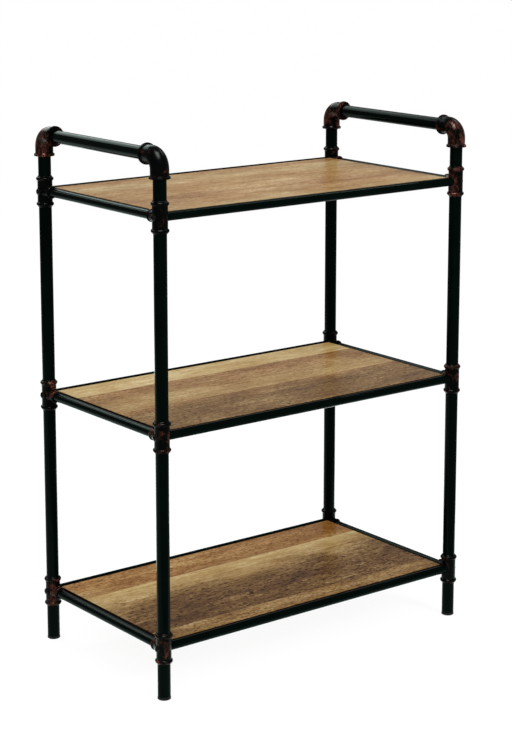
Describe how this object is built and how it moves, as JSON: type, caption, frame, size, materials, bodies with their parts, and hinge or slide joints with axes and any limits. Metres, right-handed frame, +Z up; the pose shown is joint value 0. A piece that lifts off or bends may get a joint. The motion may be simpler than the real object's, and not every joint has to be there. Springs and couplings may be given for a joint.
{
  "type": "pipe shelving unit",
  "caption": "Tiered shelving unit of round black tube and beaded pipe fittings, with plank-print boards between the rails and a tube handle at each end.",
  "frame": {"origin": "on the floor, at the middle of the four feet", "axes": "+Z up, +X to the right along the long rails, the front towards -Y"},
  "size_m": [0.6692, 0.3772, 0.9169],
  "materials": {
    "black_tube": "satin black paint with a green cast",
    "cast_patina": "black with rubbed copper-brown patches",
    "plank_print": "rustic plank print on board, dark edges",
    "foot_plastic": "moulded black",
    "black_bolt": "black oxide",
    "plated_steel": "zinc plated"
  },
  "bodies": {
    "root": {"back_left_elbow": "cast_patina", "back_left_foot_plug": "foot_plastic", "back_left_leg_tube": "black_tube", "back_left_lower_post": "black_tube", "back_left_riser_tube": "black_tube", "back_left_tee_bottom": "cast_patina", "back_left_tee_middle": "cast_patina", "back_left_tee_top": "cast_patina", "back_left_upper_post": "black_tube", "back_rail_bottom": "black_tube", "back_rail_middle": "black_tube", "back_rail_top": "black_tube", "back_right_elbow": "cast_patina", "back_right_foot_plug": "foot_plastic", "back_right_leg_tube": "black_tube", "back_right_lower_post": "black_tube", "back_right_riser_tube": "black_tube", "back_right_tee_bottom": "cast_patina", "back_right_tee_middle": "cast_patina", "back_right_tee_top": "cast_patina", "back_right_upper_post": "black_tube", "board_lugs_bottom": "black_tube", "board_lugs_middle": "black_tube", "board_lugs_top": "black_tube", "board_screws": "plated_steel", "front_left_elbow": "cast_patina", "front_left_foot_plug": "foot_plastic", "front_left_leg_tube": "black_tube", "front_left_lower_post": "black_tube", "front_left_riser_tube": "black_tube", "front_left_tee_bottom": "cast_patina", "front_left_tee_middle": "cast_patina", "front_left_tee_top": "cast_patina", "front_left_upper_post": "black_tube", "front_rail_bottom": "black_tube", "front_rail_middle": "black_tube", "front_rail_top": "black_tube", "front_right_elbow": "cast_patina", "front_right_foot_plug": "foot_plastic", "front_right_leg_tube": "black_tube", "front_right_lower_post": "black_tube", "front_right_riser_tube": "black_tube", "front_right_tee_bottom": "cast_patina", "front_right_tee_middle": "cast_patina", "front_right_tee_top": "cast_patina", "front_right_upper_post": "black_tube", "left_handle_tube": "black_tube", "left_rail_bolts": "black_bolt", "left_rail_bottom": "black_tube", "left_rail_middle": "black_tube", "left_rail_top": "black_tube", "rail_end_nuts": "plated_steel", "right_handle_tube": "black_tube", "right_rail_bottom": "black_tube", "right_rail_middle": "black_tube", "right_rail_screws": "black_bolt", "right_rail_top": "black_tube", "shelf_board_bottom": "plank_print", "shelf_board_middle": "plank_print", "shelf_board_top": "plank_print"}
  },
  "joints": []
}
